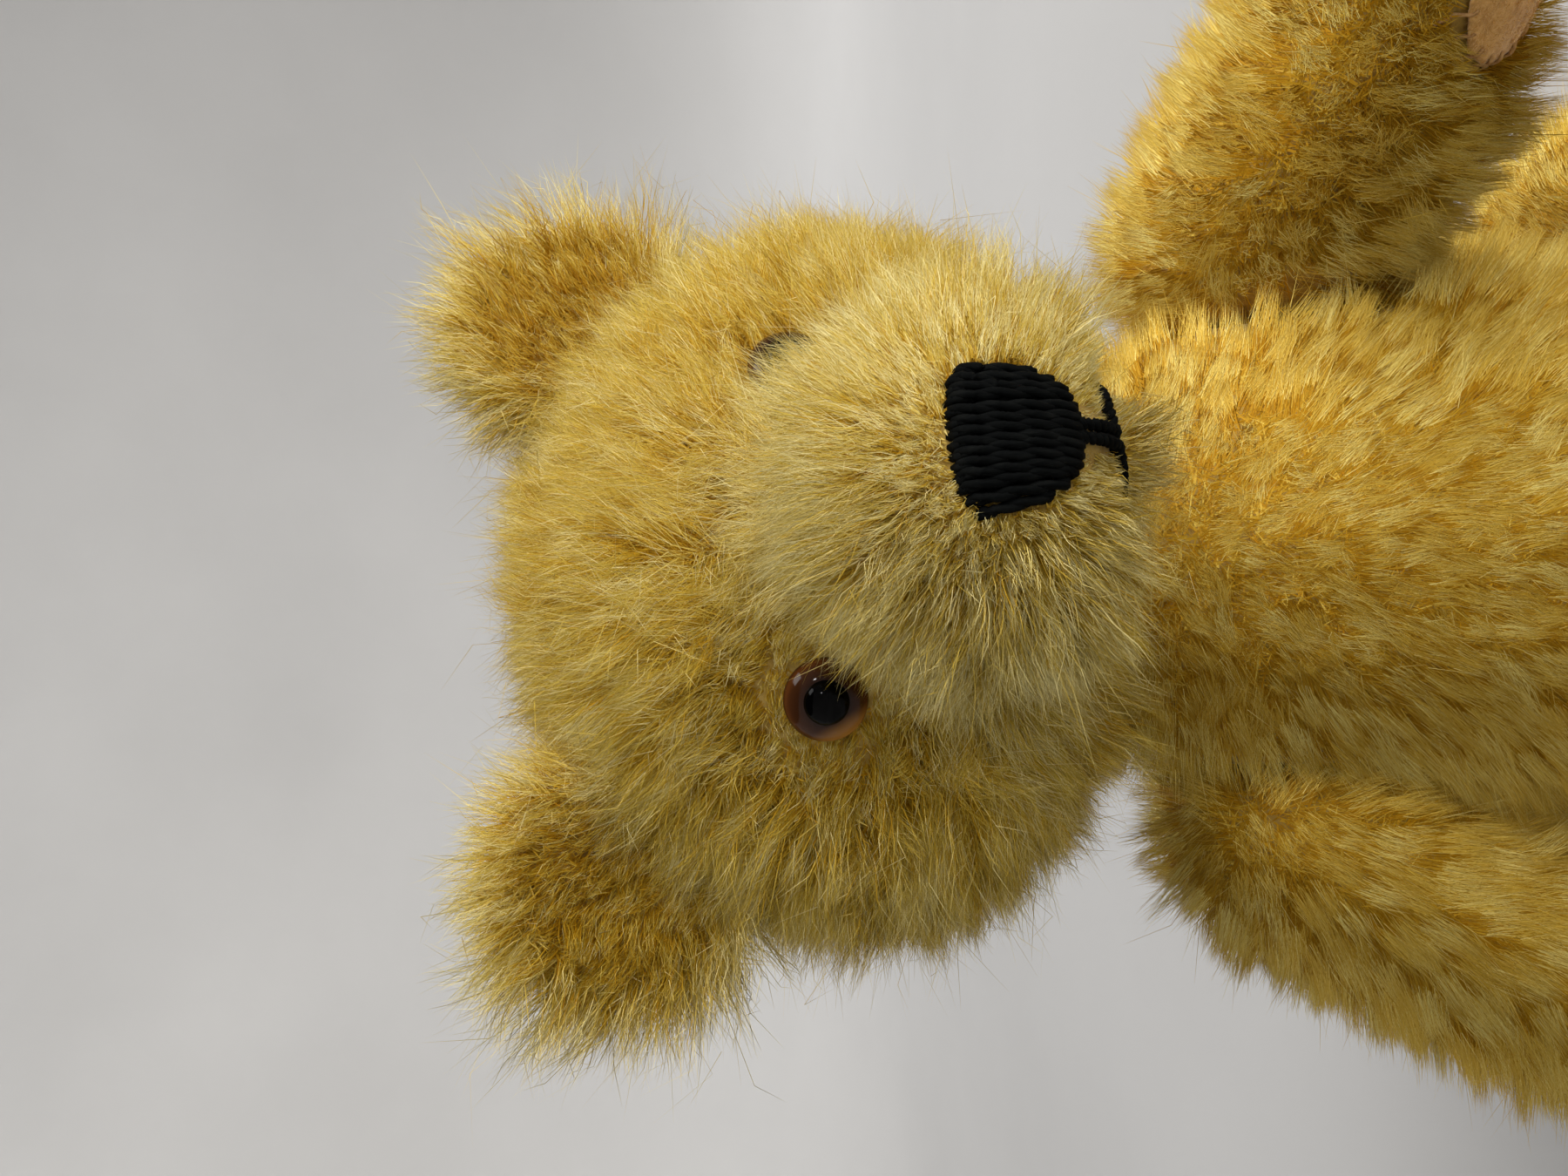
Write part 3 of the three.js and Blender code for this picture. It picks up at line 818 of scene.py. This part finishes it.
def weave_strands(name, body, points, normals, owner, tints, rng, width, tip=0.25, straw=0.35,
                  pale=0.0, deep=0.0, plush=False):
    """Ribbons along the hairs' points, in pieces of a bounded size. straw is the share of hairs in the
    faded families; pale is the share a shade lighter all along, and the share a shade darker all along is
    painted shade. Each ribbon's flat side looks roughly off the cloth. Plush ribbons have a back, are
    shaded like the cloth they stand on and cast no shadow, as fine hair lets light through."""
    along = unit(np.diff(points, axis=1))
    side = unit(np.cross(along[:, 0], normals + rng.normal(0, 0.4, normals.shape)))
    face = unit(np.cross(side, along[:, 0]))
    thick = width * rng.uniform(0.75, 1.25, len(points))
    verts = ribbon_corners(points, along, side, thick, tip)
    pattern, shades = ribbon_pattern(points.shape[1] - 1)
    shading = None
    if plush:
        back = verts - (face * PLUSH_THICKNESS)[:, None, :]
        pattern = np.concatenate([pattern, pattern[:, ::-1] + verts.shape[1]])
        verts = np.concatenate([verts, back], axis=1).astype(np.float32)
        shades = np.tile(shades, 2)
        shading = unit(normals + PLUSH_SLANT * unit(points[:, -1] - points[:, 0])).astype(np.float32)
    family = ((dealt(owner, rng) * 2).astype(int) + 2 * (dealt(owner, rng) < straw)) % (len(tints) // 3)
    # painted shade: the darker share of hairs stands for shade under the pile or in a hollow
    shift = (dealt(owner, rng) < pale).astype(int) - (dealt(owner, rng) < deep)
    most = PIECE_TRIANGLES // len(pattern)
    made = []
    for number, start in enumerate(range(0, len(points), most), 1):
        part = slice(start, start + most)
        shade = np.clip(shades[None] + shift[part, None], 0, 2)
        index = (family[part, None] * 3 + shade).astype(np.int32).ravel()
        mesh = ribbon_mesh(f"{name}_{number:02d}", verts[part], pattern, index,
                           shading[part] if plush else None)
        made.append(finish_piece(add_object(f"{name}_{number:02d}", mesh), body, "mohair", *tints))
        made[-1].visible_shadow = not plush
    return made


def distance(points, place):
    return np.linalg.norm(points - place, axis=1)


def no_seat(places, radius):
    """A weight that leaves hardly any pile where two joint faces rub. places are their (point, axis)."""
    def weight(points, normals):
        w = np.ones(len(points))
        for place, axis in places:
            off = points - np.array(place)
            across = off - np.outer(off @ axis, axis)
            facing = np.abs(normals @ axis) > 0.75
            near = (np.linalg.norm(across, axis=1) < radius) & facing & (np.abs(off @ axis) < 8 * MM)
            w[near] = 0.05
        return w
    return weight


def gap_to(points, others):
    """How far each point is from the nearest of the others."""
    return distance(points, others[nearest(points, others)])


def under_nose(points):
    """Points of the muzzle that the nose yarn covers."""
    off = turned(points) - nose_own + np.array([0, 0, NOSE_DROP])
    across, up = np.abs(off[:, 0]) / NOSE_HALF_WIDTH, off[:, 2] / NOSE_HALF_HEIGHT
    corner = np.where(up > 0, 3.5, 2.0)
    return (across ** corner + np.abs(up) ** corner < 0.95) & (np.abs(off[:, 1]) < 12 * MM)


def head_weight(points, normals):
    """Thinner pile behind, thicker round the nose, and none on the eyes, the nose and the mouth."""
    w = no_seat([(NECK, np.array([0, 0, 1.0]))], 26 * MM)(points, normals)
    w *= 0.55 + 0.45 * smooth(22 * MM, 0, points[:, 1])
    for eye in EYES.values():
        w[distance(points, eye) < 6.4 * MM] = 0
    nose = gap_to(points, nose_line)
    w *= 1 + 1.3 * smooth(10 * MM, 2 * MM, nose)
    w[(nose < 0.5 * MM) | under_nose(points)] = 0
    w[gap_to(points, mouth_line) < 1.0 * MM] = 0
    return w


def off_the_eyes(points, rng):
    """Which hairs leave the glass of the eyes open. A few still cross it, most of them from the muzzle."""
    keep = np.ones(len(points), bool)
    for side, opening in EYE_OPENING.items():
        ahead = points[:, 1:] - EYES[side] - unit(EYES[side] - NOSE) * 1.3 * MM
        out = ahead @ GAZE[side]
        off = np.linalg.norm(ahead - out[..., None] * GAZE[side], axis=2)
        crossing = ((off < opening) & (out > 0)).any(1)
        keep &= ~crossing | (rng.random(len(points)) < EYE_CROSSED)
    return keep


def coat(name, body, mesh, weight, style, tints, seed, density, segments, width, plush, **locks):
    """The pile, and under it a short ground that lies flat. style gives the comb, length and lean at each
    root, and the shares of faded, lighter and darker hairs. plush is the share of plush hairs."""
    rng = np.random.default_rng(seed)
    roots, normals = scatter(mesh, density, weight, rng)
    comb, long, lean, shares = style(roots, normals)
    points, owner = grow(roots, normals, comb, long, lean, rng, segments, **locks)
    keep = off_the_eyes(points, rng) if body == "head" else np.ones(len(points), bool)
    soft = rng.random(len(points)) < plush
    for label, part, thin in (("", keep & ~soft, False), ("_plush", keep & soft, True)):
        if part.any():
            own = {k: v[part] if np.ndim(v) else v for k, v in shares.items()}
            weave_strands(name + label, body, points[part], normals[part], owner[part], tints, rng,
                          width, plush=thin, **own)
    roots, normals = scatter(mesh, GROUND_DENSITY, weight, rng)
    _, long, _, shares = style(roots, normals)
    comb = rng.normal(0, 1, roots.shape)
    points, owner = grow(roots, normals, comb, long * GROUND_LENGTH, GROUND_LEAN, rng, 1, pull=0)
    # painted shade: a share of the ground a shade darker, for the shade under the pile
    shares["deep"] = GROUND_PAINTED_SHADE
    weave_strands(f"{name}_ground", body, points, normals, owner, tints, rng, GROUND_WIDTH, tip=0.5,
                  plush=plush == 1, **shares)


def head_style(roots, normals):
    """Pile combed out from the nose, and clipped short round the nose, the mouth and the eyes."""
    nose = gap_to(roots, nose_line)
    mouth = gap_to(roots, mouth_line)
    comb = unit(roots - (NOSE + FACE_OUT * 6 * MM))
    long = PILE * (0.28 + 0.77 * smooth(1 * MM, 13 * MM, nose))
    long *= 0.2 + 0.8 * smooth(8 * MM, 22 * MM, distance(roots, EYES["right"]))
    long *= 0.45 + 0.55 * smooth(6 * MM, 14 * MM, distance(roots, EYES["left"]))
    long *= 0.2 + 0.8 * smooth(1 * MM, 8 * MM, mouth)
    lean = 0.25 + 0.5 * smooth(3 * MM, 34 * MM, nose)
    muzzle = smooth(44 * MM, 26 * MM, nose)
    return comb * 1.1, long, lean, {"straw": 0.35 + 0.35 * muzzle, "pale": 0.1 + 0.4 * muzzle}


def ear_style(side):
    """Pile combed out from the ear's foot, shorter and darker inside it, partly by its own colour and partly by
    painted shade in the hollow, longer and paler at its rim.
    """
    low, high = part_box(f"ear_{side}")
    base = np.array([(low.x + high.x) / 2, (low.y + high.y) / 2, low.z])
    base[0] -= SIDES[side] * 10 * MM
    middle = np.array((low + high) / 2)

    def style(roots, normals):
        reach = distance(roots, middle) / (high.z - low.z) * 2
        inside = smooth(0.1, 0.5, normals @ FACE_OUT) * smooth(1.0, 0.65, reach)
        rim = smooth(0.6, 1.0, reach) * smooth(0, 12 * MM, (roots - middle)[:, 0] * SIDES[side])
        long = PILE * (0.95 - 0.5 * inside + 0.3 * rim)
        # inside the cup: less faded, less pale and a share darker, partly the inner pile's own colour and partly
        # painted shade in the hollow
        shares = {"straw": 0.85 - 0.6 * inside, "pale": 0.35 + 0.3 * rim - 0.35 * inside,
                  "deep": 0.5 * inside}
        return unit(roots - base) * 1.8, long, 0.62, shares
    return style


def torso_style(roots, normals):
    """Pile combed down, and laid over where the bear sits on it."""
    comb = np.tile([0.0, 0.0, -1.0], (len(roots), 1)) + normals * 0.2
    under = smooth(12 * MM, 0, roots[:, 2])
    return comb * 0.7, np.full(len(roots), PILE * 0.85), 0.3 + 1.0 * under, {}


def limb_weight(seat, pad, reach):
    """No pile under the felt pad, and hardly any on the joint face."""
    seats = no_seat([(seat, np.array([1.0, 0, 0]))], 24 * MM)
    shape = surface_of(NODES[pad])

    def weight(points, normals):
        w = seats(points, normals)
        for i, p in enumerate(points):
            if shape.find_nearest(p, reach)[0] is not None:
                w[i] = 0
        return w
    return weight


def limb_style(seat, pad):
    """Pile combed from the joint towards the pad, and clipped short round the pad."""
    edge = coordinates(NODES[pad].data)
    along = unit(np.array(centre(pad)) - np.array(seat))

    def style(roots, normals):
        comb = np.tile(along, (len(roots), 1))
        long = PILE * 0.9 * (0.5 + 0.5 * smooth(1 * MM, 9 * MM, gap_to(roots, edge)))
        return comb, long, 0.45 + 0.8 * smooth(12 * MM, 0, roots[:, 2]), {}
    return style


def everywhere(points, normals):
    return np.ones(len(points))


def cover_bear():
    coat("head_mohair", "head", skins["head"].data, head_weight, head_style, head_tints, 11, **HEAD_PILE)
    seats = [(JOINT[j], np.array([0, 0, 1.0]) if j == "neck" else np.array([1.0, 0, 0])) for j in JOINT]
    coat("torso_mohair", "torso", skins["torso"].data, no_seat(seats, 27 * MM), torso_style, body_tints,
         51, TORSO_DENSITY, **BODY_PILE)
    for side, sign in SIDES.items():
        coat(f"ear_mohair_{side}", "head", ears[side].data, everywhere, ear_style(side), head_tints,
             31 + sign, **EAR_PILE)
        for limb, (joint, pad_word) in LIMBS.items():
            seat, pad = JOINT[f"{joint}_{side}"], f"{limb}_{pad_word}_pad_{side}"
            body = f"{limb}_{side}"
            coat(f"{limb}_mohair_{side}", body, skins[body].data, limb_weight(seat, pad, 1.3 * MM),
                 limb_style(seat, pad), body_tints, 71 + sign, LIMB_DENSITY[limb], **BODY_PILE)


cover_bear()


# ---------------------------------------------------------------- felt pads

felt = noisy("tan_felt", srgb(188, 142, 76), srgb(206, 160, 90), srgb(220, 178, 110), 0.92, 650,
             bump=0.18 * MM, bump_scale=3200, sheen=0.5)
felt_thread = noisy("tan_thread", srgb(150, 108, 60), srgb(176, 134, 80), srgb(196, 160, 106), 0.7, 1500,
                    bump=0.06 * MM, bump_scale=5000)
felt_fibres = [tint("felt_fibre_dark", srgb(200, 152, 84), 0.8),
               tint("felt_fibre", srgb(218, 174, 106), 0.8),
               tint("felt_fibre_pale", srgb(234, 198, 138), 0.8)]


def felt_pad(pad, body, outward, seed):
    """A felt pad with a nap of short fibres."""
    obj = skin(f"{pad}_felt", [pad], no_seams, [], voxel=FELT_VOXEL, soft=14)
    finish_piece(obj, body, "felt", felt)
    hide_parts(pad)
    rng = np.random.default_rng(seed)

    def outer_face(points, normals):
        return ((normals @ outward) > 0.25).astype(float) + 1e-9

    roots, normals = scatter(obj.data, NAP_DENSITY, outer_face, rng)
    comb = rng.normal(0, 1, roots.shape)
    points, owner = grow(roots, normals, comb, np.full(len(roots), NAP_LENGTH), 1.15, rng, 2,
                         lock=1.5 * MM, pull=0.2, frizz=0.12)
    points[:, 0] = roots
    nap = weave_strands(f"{pad}_nap", body, points, normals, owner, felt_fibres, rng, NAP_WIDTH)
    return obj


def edge_stitches(pad, body, obj, outward):
    """Short oversewing stitches over the felt's edge, evenly spaced."""
    co = coordinates(obj.data)
    middle = co.mean(0)
    u = unit(np.cross(outward, [0, 0, 1.0]))
    v = np.cross(outward, u)
    a, b = (co - middle) @ u, (co - middle) @ v
    angle = np.arctan2(b, a)
    reach = np.hypot(a, b)
    bins = 72
    which = ((angle + np.pi) / (2 * np.pi) * bins).astype(int) % bins
    rim = np.array([reach[which == k].max() for k in range(bins)])
    rim = (np.roll(rim, 1) + rim + np.roll(rim, -1)) / 3
    shapes = [surface_of(obj), surface_of(skins[body])]

    def land(place):
        hits = [s.ray_cast(Vector(place + outward * 0.05), Vector(-outward)) for s in shapes]
        hits = [h for h in hits if h[0] is not None]
        return np.array(min(hits, key=lambda h: h[3])[0]) if hits else None

    paths = []
    theta = 0.0
    t = np.linspace(0, 1, 9)
    lift = np.sin(np.pi * t) * STITCH_LIFT + 0.05 * MM
    while theta < 2 * np.pi:
        r = float(np.interp(theta, np.arange(bins) * 2 * np.pi / bins, rim, period=2 * np.pi))
        real = theta - np.pi
        ray = u * math.cos(real) + v * math.sin(real)
        points = [land(middle + ray * (r - STITCH_INSET + STITCH_LENGTH * s)) for s in t]
        if all(p is not None for p in points):
            paths.append(np.array(points) + outward * lift[:, None])
        theta += STITCH_SPACING / r
    yarn_piece(f"{pad}_stitches", paths, STITCH_RADIUS, body, "felt", felt_thread)


def pad_outward(pad, body):
    """The mean way off the limb over a pad."""
    co = coordinates(NODES[pad].data)
    shape = surface_of(skins[body])
    return unit(np.mean([np.array(shape.find_nearest(Vector(p))[1]) for p in co[::3]], axis=0))


for number, side in enumerate(SIDES):
    for limb, (_, pad_word) in LIMBS.items():
        pad, body = f"{limb}_{pad_word}_pad_{side}", f"{limb}_{side}"
        outward = pad_outward(pad, body)
        edge_stitches(pad, body, felt_pad(pad, body, outward, 200 + number), outward)


# ---------------------------------------------------------------- joints and stuffing inside

INNER = {
    "disc": noisy("pressed_fibreboard", srgb(96, 70, 42), srgb(122, 92, 58), srgb(150, 118, 80), 0.85, 900,
                  bump=0.08 * MM, stretch=(1, 1, 0.3)),
    "washer": noisy("zinc_steel", srgb(130, 130, 132), srgb(160, 160, 163), srgb(188, 188, 190), 0.32, 600,
                    metallic=1.0, rough_spread=0.08),
    "pin": noisy("steel_wire", srgb(120, 120, 122), srgb(150, 150, 152), srgb(178, 178, 180), 0.36, 800,
                 metallic=1.0, rough_spread=0.08),
    "wire": noisy("black_annealed_wire", srgb(52, 50, 48), srgb(74, 72, 70), srgb(96, 94, 92), 0.45, 800,
                  metallic=1.0, rough_spread=0.08),
    "insole": noisy("grey_card", srgb(138, 118, 90), srgb(158, 136, 104), srgb(178, 156, 124), 0.88, 1200,
                    bump=0.05 * MM),
    "stuffing": noisy("wood_wool", srgb(176, 148, 92), srgb(208, 184, 128), srgb(232, 214, 166), 0.8, 260,
                      bump=0.8 * MM, bump_scale=700, stretch=(1, 0.2, 1)),
}
for name, node in NODES.items():
    for word, mat in INNER.items():
        if word in name:
            for slot in node.material_slots:
                slot.link = "OBJECT"
                slot.material = mat


# ---------------------------------------------------------------- stage, lights, camera

def studio():
    """A pale floor that curves up into a pale wall all round."""
    radius, cove, height, turns, steps = 1.3, 0.35, 1.5, 96, 12
    profile = [(0.0, 0.0), (0.5, 0.0), (radius - cove, 0.0)]
    for i in range(1, steps + 1):
        a = math.pi / 2 * i / steps
        profile.append((radius - cove + cove * math.sin(a), cove - cove * math.cos(a)))
    profile.append((radius, height))
    verts = [(0, 0, 0)]
    for r, z in profile[1:]:
        verts += [(r * math.cos(2 * math.pi * t / turns), r * math.sin(2 * math.pi * t / turns), z)
                  for t in range(turns)]
    faces = [(0, 1 + t, 1 + (t + 1) % turns) for t in range(turns)]
    for row in range(len(profile) - 2):
        a, b = 1 + row * turns, 1 + (row + 1) * turns
        faces += [(a + t, b + t, b + (t + 1) % turns, a + (t + 1) % turns) for t in range(turns)]
    obj = add_object("studio_floor", mesh_from("studio_floor", verts, faces))
    shade_smooth(obj)
    paper = noisy("pale_paper", srgb(192, 191, 190), srgb(196, 195, 194), srgb(200, 199, 198), 0.85, 3)
    obj.data.materials.append(paper)
    obj.visible_shadow = False


def area_light(name, place, target, size, power, colour=(1, 1, 1)):
    """A square light, size across, that looks at target."""
    data = bpy.data.lights.new(name, "AREA")
    data.shape = "RECTANGLE"
    data.size = data.size_y = size
    data.energy = power
    data.color = colour
    obj = bpy.data.objects.new(name, data)
    bpy.context.scene.collection.objects.link(obj)
    obj.location = place
    obj.rotation_euler = (Vector(target) - Vector(place)).to_track_quat("-Z", "Y").to_euler()


studio()
area_light("window", (3.92, -1.66, 0.92), (0, 0, 0.12), 2.24, 118, (1.0, 0.985, 0.95))
area_light("top", (1.4, -0.5, 1.9), (0, 0, 0.1), 1.3, 30, (1.0, 0.99, 0.97))
area_light("catchlight", (0.32, -0.95, 0.5), (0, -0.08, 0.19), 0.06, 0.5)
area_light("low_fill", (0.9, -1.5, 0.12), (0, -0.1, 0.15), 0.7, 2.0)
area_light("back", (0.9, 1.9, 1.3), (0, 0, 0.15), 1.2, 20)
world = bpy.data.worlds.new("studio_air")
world.use_nodes = True
world.node_tree.nodes["Background"].inputs["Color"].default_value = (0.9, 0.92, 1.0, 1)
world.node_tree.nodes["Background"].inputs["Strength"].default_value = 0.06
bpy.context.scene.world = world
bpy.context.scene.view_settings.view_transform = "Standard"

camera = bpy.data.objects.new("camera", bpy.data.cameras.new("camera"))
bpy.context.scene.collection.objects.link(camera)
camera.data.sensor_width = 36
camera.data.lens = 27.04
camera.data.clip_start = 0.01
YAW, PITCH, ROLL = math.radians(1.5), math.radians(-7.5), math.radians(94.7)
facing = (Matrix.Rotation(YAW, 4, "Z") @ Matrix.Rotation(PITCH, 4, "X")
          @ Matrix.Rotation(ROLL, 4, "Y") @ Matrix.Rotation(math.radians(90), 4, "X"))
camera.matrix_world = Matrix.Translation((0.0045, -0.2044, 0.2181)) @ facing
bpy.context.scene.camera = camera
